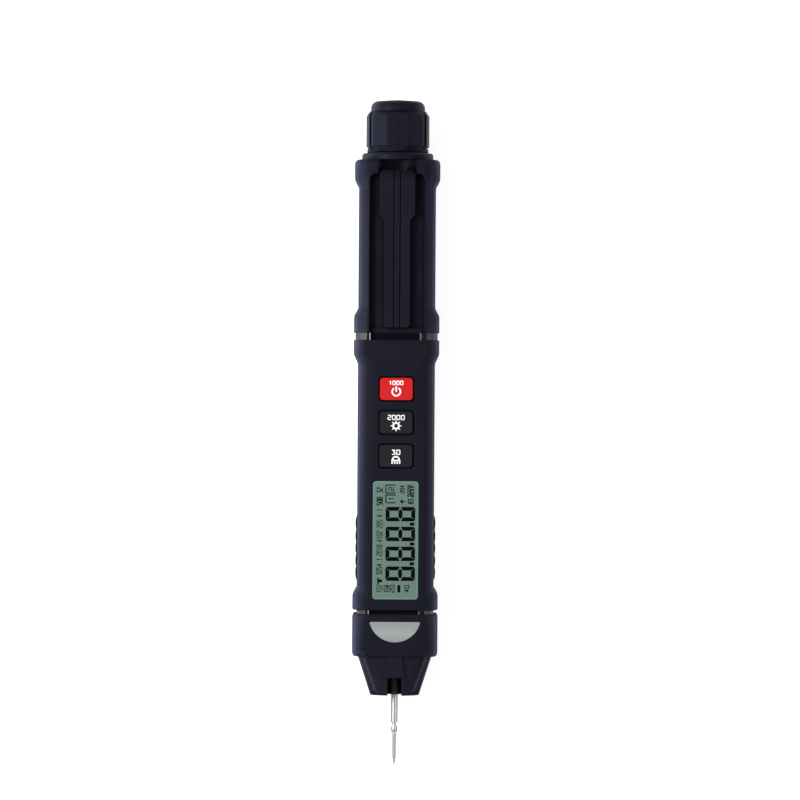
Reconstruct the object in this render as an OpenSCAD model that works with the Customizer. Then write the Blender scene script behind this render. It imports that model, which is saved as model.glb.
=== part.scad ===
// Pen multimeter lying on its flat back: +Y towards the tail, +Z out of the display face.
// The origin is the middle of the footprint, on the surface that the pen rests on.
// Every section of the body is a rounded rectangle drawn with three flats to a corner.

/* [Overall form] */
// Width over the flared ends of the sections
flare_w = 27.2; // [26.8:0.1:29]
// Width over the waists between the flares
waist_w = 24.5; // [24.4:0.1:26]
// Depth from the flat back to the flat display face
body_d = 23; // [22.9:0.1:25]
// Width of the front that stays flat before the corners turn
front_flat_w = 16.4; // [15.8:0.1:16.8]
// Wall thickness of the mouldings
wall = 1.5; // [1.4:0.05:1.55]

/* [Lengths along the pen] */
// Bare probe in front of the nose cone
probe_out = 22.4; // [20:0.1:26]
// Nose cone in front of the nose collar
cone_len = 12.5; // [11.5:0.1:15]
// Nose collar that carries the indicator lens
collar_len = 13.5; // [12.5:0.1:18]
// Lower trim ring
lower_gap = 1.3; // [1:0.1:2]
// Display section
main_len = 85.9; // [85:0.1:95]
// Upper trim ring
upper_gap = 2.4; // [1.5:0.1:4]
// Battery section with the pocket clip
battery_len = 55.1; // [55:0.1:62]
// Tail flange
flange_len = 2.3; // [1.5:0.1:3]
// Lobed grip of the tail cap
knob_len = 13.1; // [12:0.1:16]
// Domed end of the tail cap beyond its grip
dome_len = 3.8; // [3.2:0.1:5]

/* [Display] */
// Window width across the pen
window_w = 14.6; // [12:0.1:15]
// Bare front between the display section's lower end and the window
window_margin = 3.5; // [3.1:0.1:5]
// Bare front between the window and the last key
window_gap = 4.5; // [4.3:0.1:8]
// Liquid crystal glass thickness
glass_t = 1.8; // [1.4:0.1:2]
// Main board thickness
board_t = 1.2; // [0.8:0.1:1.6]
// Main board width beside the display
board_w = 19; // [17.8:0.1:19.2]

/* [Keys] */
// Key width across the pen
key_w = 10.4; // [8:0.1:11]
// Key length along the pen
key_l = 7; // [5:0.1:7.6]
// Distance from one key to the next
key_pitch = 10.65; // [10:0.05:12]
// Keys' first centre, from the display section's upper end
key_first = 15.5; // [14.5:0.1:17]
// Height of a key above the front
key_proud = 0.5; // [0.2:0.1:1]
// Travel of a key
key_travel = 0.5; // [0.3:0.05:0.6]

/* [Clip] */
// Clip width at its root
clip_w = 11.3; // [10:0.1:11.5]
// Clip width along its blade
blade_w = 8.2; // [6:0.1:9]
// Clip thickness
clip_t = 1.6; // [1.2:0.1:2]
// Depth of the channel that the clip lies in
channel_depth = 2.1; // [1.8:0.1:2.2]
// Channel width
channel_w = 17.5; // [15:0.1:17.6]

/* [Tail] */
// Tail cap diameter over its lobes
knob_d = 20.2; // [19.6:0.1:22]
// Tail flange diameter
flange_d = 22.8; // [21:0.1:22.8]
// Socket bore for the test lead's plug
socket_d = 4; // [3.9:0.1:4.2]
// Lead of the tail cap's thread
thread_pitch = 1.5; // [1:0.25:2]
// Turns that free the tail cap
thread_turns = 5; // [3:1:6]

/* [Nose] */
// Nose cone width at its free end
cone_end_w = 15.5; // [14:0.1:18]
// Probe diameter where it leaves the nose
probe_d = 2.1; // [1.8:0.1:2.4]
// Insulating sleeve diameter round the probe
sleeve_d = 3; // [2.9:0.1:3.6]
// Indicator lens width
lens_w = 16.2; // [12:0.1:16.6]

/* [Batteries] */
// Cell diameter
cell_d = 10.5; // [10:0.1:10.5]
// Cell length over its button
cell_l = 44.5; // [43:0.1:44.5]

/* [Hidden] */
$fn = 64;

// Overrun of every cut past the face it opens, and the gap of glued and screwed fits
over = 0.5;
bond = 0.02;
// Gap between pieces that slip past each other, and running gap of turning pieces
slip = 0.1;
run = 0.15;

// Half sizes
axis_z = body_d / 2;
flare_half = flare_w / 2;
waist_half = waist_w / 2;
half_d = body_d / 2;
flat_half = front_flat_w / 2;
cavity_half = waist_half - wall;
cavity_half_d = half_d - wall;

// Stations along the pen, from the probe's point to the tail
knob_gap = 0.3;
total_len = probe_out + cone_len + collar_len + lower_gap + main_len + upper_gap
    + battery_len + flange_len + knob_gap + knob_len + dome_len;
tip_y = -total_len / 2;
cone_y = tip_y + probe_out;
collar_y = cone_y + cone_len;
collar_top = collar_y + collar_len;
main_y = collar_top + lower_gap;
main_top = main_y + main_len;
battery_y = main_top + upper_gap;
battery_top = battery_y + battery_len;
flange_top = battery_top + flange_len;
knob_y = flange_top + knob_gap;
knob_top = knob_y + knob_len;
tail_y = knob_top + dome_len;

// Flares: the rounding of an end, the full width behind it, then the taper to the waist
end_round = 0.7;
end_inset = 0.7;
round_steps = 3;
main_full = 4;
main_taper = 4.1;
low_full = 4.5;
low_taper = 3.3;
cell_full = 4.7;
cell_taper = 3.6;
shoulder_round = 1.5;
shoulder_full = 5.8;
shoulder_taper = 3.5;
shoulder_inset = 1.4;
face_inset = 0.3;
taper_steps = 8;
stagger = 0.05;

// Seams, necks and screws
lip_t = 0.6;
lip_h = 0.9;
neck_t = 1.2;
neck_in = 5;
neck_lower_in = 1.4;
rib_l = 1.4;
rib_out = 0.5;
rib_back = 1.9;
boss_r = 2.1;
screw_r = 0.98;
screw_head_r = 1.8;
screw_head_t = 1.2;
screw_seat_z = 6;
screw_grip = 3.2;
screw_x = 8.3;
screw_clear = 0.15;
rear_boss_more = 0.3;
screw_from_top = neck_in + boss_r + rear_boss_more + 2 * slip;
neck_corner = 4;

// Display stack, from the front down to the board
window_l = main_len - window_margin - window_gap - key_first - 2 * key_pitch - key_l / 2;
window_y = main_y + window_margin + window_l / 2;
window_r = 1;
window_lip = 1;
window_lip_t = 0.6;
window_sink = 0.2;
glass_margin = 1.2;
glass_margin_l = 0.7;
holder_t = 0.7;
stack_gap = 0.1;
glass_top = body_d - wall - window_lip_t - slip;
glass_z = glass_top - glass_t;
backlight_t = 2.4;
backlight_z = glass_z - stack_gap - backlight_t;
stack_depth = 5.7;
board_top = body_d - wall - stack_depth;
board_z = board_top - board_t;
board_end_gap = 0.4;
tongue_w = 15;

// Keys and switches
key_r = 1;
key_lip = 0.8;
key_lip_t = 0.85;
key_stem_r = 1.6;
key_lip_top = body_d - wall - slip;
switch_w = 6;
switch_t = 2.2;
switch_pin_r = 1.5;
switch_pin_t = 0.7;
switch_top = board_top + switch_t + switch_pin_t;
key_rest_gap = key_travel + slip;
keys_y = [for (i = [0:2]) main_top - key_first - i * key_pitch];

// Battery bay
bay_wall = 1.4;
block_l = 5.6;
bay_y = battery_y + bay_wall;
bay_top = battery_top - block_l;
plate_t = 0.4;
plate_w = 8;
cell_r = cell_d / 2;
cell_x = cell_r + slip;
cell_lift = 1.2;
cell_z = wall + cell_r + cell_lift;
cell_button_r = 1.9;
cell_button_l = 0.8;
spring_l = bay_top - bay_y - 2 * plate_t - cell_l;
tray_gap = 0.15;
tray_t = 1;
wire_hole_r = 1.6;
cover_screw_from_top = 3.9;
cover_boss_r = 3;
cover_boss_t = 1.9;
cover_screw_l = 6;
cover_pocket_gap = 0.2;

// Clip, its root hook and the scoop between the shoulder lobes
channel_z = body_d - channel_depth;
channel_from_top = 4.5;
channel_root_from_top = 2.6;
channel_r = 2;
clip_lift = 0.8;
clip_z = channel_z + clip_lift;
clip_from_top = 3.4;
clip_top = battery_top - clip_from_top;
clip_end_in = 1.6;
clip_end = battery_y + clip_end_in;
clip_wide_l = 14;
clip_taper_l = 2.1;
clip_r = 1;
clip_groove_w = 0.5;
clip_groove_t = 0.3;
clip_groove_x = 1;
clip_bead_r = 0.9;
clip_bead_in = 2.6;
foot_w = 8;
foot_l = 1.2;
foot_in = 2.4;
foot_y = clip_top - foot_in;
foot_gap = 0.4;
pivot_r = 1.3;
pivot_z = channel_z - wall - slip - pivot_r;
scoop_r = 6.4;
scoop_rise = 3.6;
scoop_l = 3.6;

// Tail
hub_r = 7.2;
hub_l = 2.2;
neck_r = 7.6;
flange_chamfer = 0.5;
insulator_r = 6;
contact_t = 0.9;
contact_floor = 0.5;
socket_len = 12;
socket_set = 3;
socket_r = socket_d / 2;
neck_end_in = 1.7;
neck_end = knob_top - neck_end_in;
liner_t = 0.8;
liner_r = 7.6;
cap_r = 8.65;
cap_bore_r = neck_r + run;
cap_ceiling = neck_end + slip + liner_t + bond;
dome_round = 2.2;
dome_crown = 0.5;
knob_r = knob_d / 2;
base_ring_l = 0.8;
base_ring_r = 9.75;
facet_half = 3.4;
facet_mid_r = 9.55;
facet_side_r = 9.85;
knob_chamfer_l = 1.6;
knob_chamfer_in = 1.1;
groove_w = 1.1;
groove_depth = 0.8;
foot_groove_l = 0.9;
foot_groove_r = 9.6;
lobes = 3;

// Nose
cone_top_half = 11.7;
cone_top_half_d = 10.5;
cone_end_half_d = 7.4;
cone_corner = 5.6;
cone_end_corner = 5.9;
spigot_l = 3;
spigot_t = 1.4;
cone_hollow = 3;
panel_l = 6.8;
panel_top_w = 4.8;
panel_end_w = 7;
panel_raise = 0.35;
notch_w = 4.35;
notch_l = 5.6;
notch_floor = 1.6;
flute_r = 3;
flute_depth = 0.45;
flute_angle = atan2(cone_top_half_d - cone_corner, cone_top_half - cone_corner);
torch_r = 1.5;
torch_l = 5.2;
torch_rim_r = 1.75;
torch_rim_t = 0.8;
torch_drop = 4.4;
torch_set = 0.4;
lens_r = 8.3;
lens_from_top = 2.35;
lens_corner = 0.6;
lens_lip = 0.7;
lens_lip_t = 0.6;
led_r = 1.5;
led_x = 3.6;
led_rim_r = 1.8;
led_rim_t = 0.9;
led_h = 5;
led_gap = 0.2;
collar_round = 1.5;
collar_inset = 1.1;
sleeve_r = sleeve_d / 2;
sleeve_back = 1;
probe_r = probe_d / 2;
probe_neck_r = 0.65;
probe_ring_r = 0.98;
probe_ring_end_r = 0.86;
probe_shank_r = 0.8;
probe_thin_r = 0.57;
probe_point_r = 0.12;
probe_point_l = 2.45;
probe_thin_l = 7.6;
probe_ring_l = 2.4;
probe_neck_l = 1.1;
socket_tube_r = 2.3;
socket_tube_l = 5;
socket_tab_w = 2.4;
socket_tab_l = 1.4;
probe_end = collar_y + sleeve_back + slip + socket_tube_l;

// Trim rings: how far each stands out of the waists, and its open front
upper_ring_out = 0.85;
lower_ring_out = 0;
ring_face_inset = 0.5;
ring_window_more = 0.2;
ring_window_w = front_flat_w + ring_window_more;

// Side grips
grip_from_end = 9.7;
grip_y = main_y + grip_from_end;
grip_l = 20;
grip_w = 10;
grip_sink = 0.6;
grip_ribs = 5;
rib_pitch = 3.9;
rib_rise = 0.5;
rib_r = 9;
grip_first = 2.2;

// Board parts
chip_w = 9;
chip_t = 1.4;
chip_share = 0.73;
chip_y = main_y + chip_share * main_len;
buzzer_r = 6;
buzzer_t = 3.4;
buzzer_share = 0.38;
buzzer_y = main_y + buzzer_share * main_len;
part_sizes = [[3.2, 1.6, 1.1], [2.4, 4.6, 2.2], [5.2, 3, 1.8], [4.4, 4.4, 3.2]];
part_shares = [0.57, 0.5, 0.83, 0.89];
parts_x = [3.6, -3.4, 3, -3.2];

// Smooth rise from 0 to 1
function ease(t) = (1 - cos(180 * t)) / 2;

// Corners of a body section: three flats to each corner, round a radius r at the given half sizes
function section(hw, hd, r) = [
    for (k = [0:11])
        let (a = 15 + 30 * k, q = floor(k / 3), sx = q == 0 || q == 3 ? 1 : -1, sz = q < 2 ? 1 : -1)
        [sx * (hw - r) + r / cos(15) * cos(a), sz * (hd - r) + r / cos(15) * sin(a)]
];

// Body section at a half width: the corners grow with the flare, so the front stays equally flat
function body_section(hw, hd) = section(hw, hd, hw - flat_half);

function taper(y_a, half_a, y_b, half_b) = [
    for (i = [0:taper_steps])
        let (t = i / taper_steps) [y_a + (y_b - y_a) * t, half_a + (half_b - half_a) * ease(t), half_d]
];

// Rounded end of a section: a quarter ellipse from its face, towards +Y when way is 1
function rounding(y, way, l, inset) = [
    for (i = [0:round_steps])
        let (a = 90 * (way > 0 ? i : round_steps - i) / round_steps, off = 1 - sin(a))
        [y + way * l * (1 - cos(a)), flare_half - inset * off, half_d - face_inset * off]
];

// Stations of the sections' outer forms as [y, half width, half depth]
main_form = concat(
    rounding(main_y, 1, end_round, end_inset),
    taper(main_y + low_full, flare_half, main_y + low_full + low_taper, waist_half),
    taper(main_top - main_full - main_taper, waist_half, main_top - main_full, flare_half),
    [[main_top, flare_half, half_d]]
);
battery_form = concat(
    [[battery_y, flare_half, half_d]],
    taper(battery_y + cell_full, flare_half, battery_y + cell_full + cell_taper, waist_half),
    taper(battery_top - shoulder_full - shoulder_taper, waist_half,
        battery_top - shoulder_full, flare_half),
    rounding(battery_top, -1, shoulder_round, shoulder_inset)
);
collar_form = concat(
    rounding(collar_y, 1, collar_round, collar_inset),
    rounding(collar_top, -1, end_round, end_inset)
);

// Distance from the axis to a section's flat that faces a given angle
function flat_at(s, a) = let (r = s[1] - flat_half)
    flat_half * abs(cos(a)) + (s[2] - r) * abs(sin(a)) + r;

// Solid through the body sections: what is common to one prism for each pair of opposite flats.
// The steeper a flat lies, the further in its tapers start, so the creases meet the arrises one by one.
module loft(form) {
    last = len(form) - 1;
    long = 2 * body_d;
    intersection_for (a = [0:30:150]) {
        late = stagger * min(a, 180 - a) / 30;
        ys = [for (i = [0:last]) form[i][0] + (i == 0 || i == last ? 0 : i < last / 2 ? late : -late)];
        translate([0, 0, axis_z]) rotate([0, a, 0]) translate([0, 0, -long / 2])
            linear_extrude(long) polygon(concat(
                [for (i = [0:last]) [flat_at(form[i], a), ys[i]]],
                [for (i = [last:-1:0]) [-flat_at(form[i], a), ys[i]]]
            ));
    }
}

// Extrudes a section from one station to another
module along(y_a, y_b) {
    translate([0, y_b, axis_z]) rotate([90, 0, 0]) linear_extrude(y_b - y_a) children();
}

// Prism with a body section, in or out of the cavity's own outline by a distance
module cavity_prism(y_a, y_b, grow = 0) {
    along(y_a, y_b) polygon(section(cavity_half + grow, cavity_half_d + grow,
        waist_half - flat_half - wall + grow));
}

// Prism of the necks under the trim rings, their corners cut back further than the cavity's
module neck_prism(y_a, y_b, grow = 0) {
    along(y_a, y_b) polygon(section(cavity_half - slip + grow, cavity_half_d - slip + grow,
        neck_corner + grow));
}

// Revolved piece round the pen's axis: profile points are [radius, y]
module turned(profile) {
    translate([0, 0, axis_z]) rotate([-90, 0, 0]) rotate_extrude() polygon(profile);
}

module rod(y_a, y_b, r, x = 0, z = axis_z) {
    translate([x, y_b, z]) rotate([90, 0, 0]) cylinder(h = y_b - y_a, r = r);
}

module tube(y_a, y_b, r_out, r_in) {
    turned([[r_in, y_a], [r_out, y_a], [r_out, y_b], [r_in, y_b]]);
}

// Block centred in X between two stations and two heights
module block(w, y_a, y_b, z_a, z_b, x = 0) {
    translate([x - w / 2, y_a, z_a]) cube([w, y_b - y_a, z_b - z_a]);
}

module above(z) {
    block(2 * flare_w, tip_y, tail_y, z, z + body_d);
}

module below(z) {
    block(2 * flare_w, tip_y, tail_y, z - body_d, z);
}

// Rounded rectangle, its arcs by formula
function round_rect(w, l, r, steps = 4) = [
    for (q = [0:3], i = [0:steps])
        let (a = 90 * q + 90 * i / steps, sx = q == 0 || q == 3 ? 1 : -1, sy = q < 2 ? 1 : -1)
        [sx * (w / 2 - r) + r * cos(a), sy * (l / 2 - r) + r * sin(a)]
];

module rounded_block(w, l, r, y, z_a, z_b) {
    translate([0, y, z_a]) linear_extrude(z_b - z_a) polygon(round_rect(w, l, r));
}

// The four screw spots of the display section
module at_screws() {
    for (x = [-screw_x, screw_x], y = [main_top - screw_from_top, screw_low_y])
        translate([x, y, 0]) children();
}
screw_low_y = window_y + window_l / 2 + window_lip + boss_r + 0.8 * window_lip;

// Rebate and lip that locate the two halves of a section on each other
module seam_lip(y_a, y_b, grow = 0) {
    intersection() {
        difference() {
            cavity_prism(y_a, y_b, lip_t + grow);
            cavity_prism(y_a - over, y_b + over);
        }
        block(2 * flare_w, y_a - over, y_b + over, axis_z - over, axis_z + lip_h + grow);
    }
}

module front_shell() {
    color("#22232c") difference() {
        union() {
            difference() {
                intersection() {
                    loft(main_form);
                    above(axis_z);
                }
                cavity_prism(main_y - over, main_top + over);
                seam_lip(main_y - over, main_top + over, slip);
            }
            at_screws() translate([0, 0, board_top])
                cylinder(h = body_d - wall - board_top + bond, r = boss_r);
        }
        at_screws() cylinder(h = board_top + screw_grip, r = screw_r + bond);
        rounded_block(window_w + 2 * slip, window_l + 2 * slip, window_r + slip, window_y,
            body_d - wall - over, body_d + over);
        for (y = keys_y)
            rounded_block(key_w + 2 * run, key_l + 2 * run, key_r + run, y,
                body_d - wall - over, body_d + over);
        cavity_prism(main_top - rib_back - rib_l - slip, main_top - rib_back + slip, rib_out + slip);
        grip_recess();
    }
}

module rear_shell() {
    color("#1f2028") difference() {
        union() {
            difference() {
                intersection() {
                    loft(main_form);
                    below(axis_z);
                }
                cavity_prism(main_y - over, main_top + over);
            }
            seam_lip(main_y, main_top);
            at_screws() translate([0, 0, wall - bond]) cylinder(h = board_z - wall + bond, r = boss_r + rear_boss_more);
        }
        at_screws() {
            cylinder(h = board_top, r = screw_r + screw_clear);
            translate([0, 0, -over]) cylinder(h = screw_seat_z + over, r = screw_head_r + screw_clear);
        }
        cavity_prism(main_top - rib_back - rib_l - slip, main_top - rib_back + slip, rib_out + slip);
        intersection() {
            cavity_prism(main_y + rib_back - slip, main_y + rib_back + rib_l + slip, rib_out + slip);
            below(axis_z - over);
        }
        grip_recess();
    }
}
module display_window() {
    color("#7a978a") {
        rounded_block(window_w, window_l, window_r, window_y,
            body_d - wall - bond, body_d - window_sink);
        rounded_block(window_w + 2 * window_lip, window_l + 2 * window_lip, window_r + window_lip,
            window_y, body_d - wall - window_lip_t, body_d - wall);
    }
}

glass_w = window_w + 2 * glass_margin;
glass_l = window_l + 2 * glass_margin_l;

module lcd_glass() {
    color("#8fae9f") block(glass_w, window_y - glass_l / 2, window_y + glass_l / 2, glass_z, glass_top);
}

module lcd_holder() {
    color("#e8e8e4") difference() {
        block(glass_w + 2 * (holder_t + slip), window_y - glass_l / 2 - holder_t - slip,
            window_y + glass_l / 2 + holder_t + slip, board_top, glass_top);
        block(glass_w + 2 * slip, window_y - glass_l / 2 - slip, window_y + glass_l / 2 + slip,
            board_top - over, glass_top + over);
    }
}

zebra_w = 1.6;
module backlight_plate() {
    color("#f4f4ee") block(glass_w - 2 * (zebra_w + slip), window_y - glass_l / 2,
        window_y + glass_l / 2, backlight_z, glass_z);
}

module zebra_strip() {
    color("#3a3a3c") for (side = [-1, 1])
        block(zebra_w, window_y - window_l / 2, window_y + window_l / 2, board_top, glass_z,
            x = side * (glass_w / 2 - zebra_w / 2));
}

module main_board() {
    color("#2f6b3a") difference() {
        union() {
            block(board_w, main_y + neck_lower_in + slip, main_top - neck_in - board_end_gap,
                board_z, board_top);
            block(tongue_w, probe_end + slip, main_y + neck_lower_in + over, board_z, board_top);
        }
        at_screws() translate([0, 0, board_z - over])
            cylinder(h = board_t + 2 * over, r = screw_r + screw_clear);
    }
}

module key_switches() {
    color("#5a5a5e") for (y = keys_y) {
        block(switch_w, y - switch_w / 2, y + switch_w / 2, board_top, board_top + switch_t);
        translate([0, y, board_top + switch_t - bond])
            cylinder(h = switch_pin_t + bond, r = switch_pin_r);
    }
}

module key(y) {
    rounded_block(key_w, key_l, key_r, y, key_lip_top - bond, body_d + key_proud);
    rounded_block(key_w + 2 * key_lip, key_l + 2 * key_lip, key_r + key_lip, y,
        key_lip_top - key_lip_t, key_lip_top);
    translate([0, y, switch_top + key_rest_gap])
        cylinder(h = key_lip_top - key_lip_t - switch_top - key_rest_gap + bond, r = key_stem_r);
}

module power_button() { color("#d02026") key(keys_y[0]); }
module hold_button() { color("#333335") key(keys_y[1]); }
module lamp_button() { color("#333335") key(keys_y[2]); }

module measuring_chip() {
    color("#18181a") block(chip_w, chip_y - chip_w / 2, chip_y + chip_w / 2, board_z - chip_t, board_z);
}

module board_parts() {
    color("#8a6a3a") for (i = [0:len(part_sizes) - 1])
        let (y = main_y + part_shares[i] * main_len)
            block(part_sizes[i][0], y - part_sizes[i][1] / 2, y + part_sizes[i][1] / 2,
                board_z - part_sizes[i][2], board_z, x = parts_x[i]);
}

module buzzer() {
    color("#101012") translate([0, buzzer_y, board_z - buzzer_t])
        cylinder(h = buzzer_t, r = buzzer_r);
}

// Countersunk cross in a screw's head is left plain
module screw(seat_z, grip) {
    translate([0, 0, seat_z - screw_head_t]) cylinder(h = screw_head_t, r = screw_head_r);
    translate([0, 0, seat_z - bond]) cylinder(h = grip + bond, r = screw_r);
}

module case_screws() {
    color("#8c8c90") at_screws() screw(screw_seat_z, board_top + screw_grip - screw_seat_z - slip);
}

cover_screw_y = battery_top - cover_screw_from_top;
cover_seat_z = wall;

// Channel for the clip: square and open at the lower end, rounded at the top
module channel_cut() {
    y_b = battery_top - channel_from_top;
    half = channel_w / 2;
    translate([0, 0, channel_z]) linear_extrude(body_d) polygon(concat(
        [[-half, battery_y - over], [half, battery_y - over]],
        [for (i = [0:6]) [half - channel_r + channel_r * cos(15 * i), y_b - channel_r + channel_r * sin(15 * i)]],
        [for (i = [6:-1:0]) [-half + channel_r - channel_r * cos(15 * i), y_b - channel_r + channel_r * sin(15 * i)]]
    ));
}

// Front half of the battery section with its end walls, cell tray and the neck into the display section
module battery_housing() {
    color("#22232c") difference() {
        union() {
            difference() {
                intersection() {
                    loft(battery_form);
                    above(axis_z);
                }
                cavity_prism(bay_y, bay_top);
                seam_lip(battery_y - over, battery_top + over, slip);
                channel_cut();
            }
            intersection() {
                cavity_prism(bay_y - over, bay_top + over, bond);
                block(flare_w, bay_y - over, bay_top + over, channel_z - wall, channel_z);
            }
            cavity_prism(battery_y, bay_y, -slip);
            cavity_prism(bay_top, battery_top, -slip);
            neck_prism(main_top - neck_in, battery_y + over);
            cavity_prism(main_top - rib_back - rib_l, main_top - rib_back, rib_out);
            intersection() {
                cavity_prism(bay_y - over, bay_top + over, bond);
                block(flare_w, bay_y - over, bay_top + over, tray_z, tray_z + tray_t);
            }
        }
        neck_prism(main_top - neck_in - over, battery_y, -neck_t);
        rod(battery_y - over, bay_y + over, wire_hole_r, z = tray_z + tray_t + wire_hole_r + slip);
        rod(bay_top - over, battery_top, wire_hole_r);
        rod(battery_top - hub_l, battery_top + over, hub_r + bond);
        block(clip_w + 2 * foot_gap, battery_top - channel_from_top - over,
            battery_top - channel_root_from_top, channel_z, body_d + over);
        rod(battery_top - scoop_l, battery_top + over, scoop_r, z = body_d + scoop_rise);
        block(foot_w + 2 * foot_gap, foot_y - foot_l / 2 - foot_gap, foot_y + foot_l / 2 + foot_gap,
            channel_z - wall - over, channel_z + over);
        block(foot_w + 2 * foot_gap, foot_y - pivot_r - foot_gap, foot_y + pivot_r + foot_gap,
            pivot_z - pivot_r - foot_gap, channel_z - wall);
        translate([0, cover_screw_y, 0]) {
            cylinder(h = cover_seat_z + cover_screw_l, r = screw_r + bond);
            cylinder(h = cover_seat_z + cover_boss_t + cover_pocket_gap, r = cover_boss_r + cover_pocket_gap);
        }
    }
}
tray_z = cell_z + cell_r + tray_gap;

// Back half of the battery section, lifted off to change the cells
module battery_cover() {
    color("#1f2028") difference() {
        union() {
            difference() {
                intersection() {
                    loft(battery_form);
                    block(2 * flare_w, battery_y + slip, battery_top - slip, 0, axis_z);
                }
                cavity_prism(battery_y - over, battery_top + over);
            }
            seam_lip(battery_y + slip, battery_top - slip);
            translate([0, cover_screw_y, wall - bond])
                cylinder(h = cover_boss_t, r = cover_boss_r);
        }
        translate([0, cover_screw_y, -over]) {
            cylinder(h = cover_seat_z + over + cover_boss_t, r = screw_r + bond);
            cylinder(h = cover_seat_z + over, r = screw_head_r + screw_clear);
        }
    }
}

module cover_screw() {
    color("#8c8c90") translate([0, cover_screw_y, 0]) screw(cover_seat_z, cover_screw_l - slip);
}

// Cell with its button towards +Y when up is 1 and towards -Y when it is -1
module cell(x, up) {
    y_a = up > 0 ? bay_y + plate_t + spring_l : bay_y + plate_t + cell_button_l;
    rod(y_a, y_a + cell_l - cell_button_l, cell_r, x, cell_z);
    y_b = up > 0 ? y_a + cell_l - cell_button_l - bond : bay_y + plate_t;
    rod(y_b, y_b + cell_button_l + bond, cell_button_r, x, cell_z);
}

module battery_left() { color("#2b8a57") cell(-cell_x, 1); }
module battery_right() { color("#2b8a57") cell(cell_x, -1); }

wire_r = 0.35;
coil_r = 3;
coil_turns = 2.5;
coil_steps = 12;
coil_sides = 6;

// Coil of round wire along +Y from its start
module coil(length) {
    n = coil_turns * coil_steps;
    rise = length - 2 * wire_r;
    polyhedron(
        points = [
            for (i = [0:n], k = [0:coil_sides - 1])
                let (a = 360 * i / coil_steps, b = 360 * k / coil_sides, r = coil_r + wire_r * cos(b))
                [r * cos(a), wire_r + rise * i / n + wire_r * sin(b), r * sin(a)]
        ],
        faces = concat(
            [[for (k = [0:coil_sides - 1]) k]],
            [for (i = [0:n - 1], k = [0:coil_sides - 1])
                let (k2 = (k + 1) % coil_sides)
                [i * coil_sides + k2, i * coil_sides + k, (i + 1) * coil_sides + k, (i + 1) * coil_sides + k2]],
            [[for (k = [coil_sides - 1:-1:0]) n * coil_sides + k]]
        )
    );
}

module battery_springs() {
    color("#c8c8cc") {
        translate([-cell_x, bay_y + plate_t, cell_z]) coil(spring_l);
        translate([cell_x, bay_top - plate_t - spring_l, cell_z]) coil(spring_l);
    }
}

module contact_plates() {
    color("#c8c8cc") {
        block(2 * cell_x + plate_w, bay_y, bay_y + plate_t, cell_z - plate_w / 2, cell_z + plate_w / 2);
        for (side = [-1, 1])
            block(plate_w, bay_top - plate_t, bay_top, cell_z - plate_w / 2, cell_z + plate_w / 2,
                x = side * cell_x);
    }
}

// Outline of the clip from above, its free end rounded
clip_outline = concat(
    [[clip_w / 2 - clip_r, clip_top], [clip_w / 2, clip_top - clip_r],
        [clip_w / 2, clip_top - clip_wide_l],
        [blade_w / 2, clip_top - clip_wide_l - clip_taper_l]],
    [for (i = [0:4]) [blade_w / 2 - clip_r + clip_r * cos(-22.5 * i), clip_end + clip_r + clip_r * sin(-22.5 * i)]],
    [for (i = [4:8]) [-blade_w / 2 + clip_r + clip_r * cos(-22.5 * i), clip_end + clip_r + clip_r * sin(-22.5 * i)]],
    [[-blade_w / 2, clip_top - clip_wide_l - clip_taper_l],
        [-clip_w / 2, clip_top - clip_wide_l],
        [-clip_w / 2, clip_top - clip_r], [-clip_w / 2 + clip_r, clip_top]]
);

module pocket_clip() {
    color("#22232c") difference() {
        union() {
            translate([0, 0, clip_z]) linear_extrude(clip_t) polygon(clip_outline);
            block(foot_w, foot_y - foot_l / 2, foot_y + foot_l / 2, pivot_z, clip_z + bond);
            translate([-foot_w / 2, foot_y, pivot_z]) rotate([0, 90, 0]) cylinder(h = foot_w, r = pivot_r);
            translate([-blade_w / 2 + clip_r, clip_end + clip_bead_in, clip_z]) rotate([0, 90, 0])
                cylinder(h = blade_w - 2 * clip_r, r = clip_lift - run);
        }
        for (side = [-1, 1])
            block(clip_groove_w, clip_end - over, clip_top - over, clip_z + clip_t - clip_groove_t,
                clip_z + clip_t + over, x = side * clip_groove_x);
    }
}

// Flange with the threaded neck for the tail cap and the hub that enters the battery section
module tail_collar() {
    color("#1d1e26") turned([
        [insulator_r + bond, battery_top - hub_l], [hub_r, battery_top - hub_l], [hub_r, battery_top],
        [flange_d / 2, battery_top], [flange_d / 2, flange_top - flange_chamfer],
        [flange_d / 2 - flange_chamfer, flange_top], [neck_r, flange_top], [neck_r, neck_end],
        [insulator_r + bond, neck_end]
    ]);
}

contact_r = socket_r + contact_t;

module socket_insulator() {
    color("#101012") tube(battery_top - hub_l, neck_end, insulator_r, contact_r + bond);
}

module com_contact() {
    mouth = neck_end - socket_set;
    color("#c9a24b") turned([
        [0, mouth - socket_len - contact_floor], [contact_r, mouth - socket_len - contact_floor],
        [contact_r, mouth], [socket_r, mouth], [socket_r, mouth - socket_len], [0, mouth - socket_len]
    ]);
}

// Rounded dome: a quarter arc up to a lightly crowned end
dome_profile = concat(
    [for (i = [0:6]) let (a = 15 * i)
        [cap_r - dome_round + dome_round * cos(a),
            tail_y - dome_crown - dome_round + dome_round * sin(a)]],
    [[0, tail_y]]
);

module tail_cap() {
    color("#1d1e26") turned(concat(
        [[cap_bore_r, knob_y], [cap_r, knob_y]], dome_profile,
        [[0, cap_ceiling], [cap_bore_r, cap_ceiling]]
    ));
}

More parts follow.
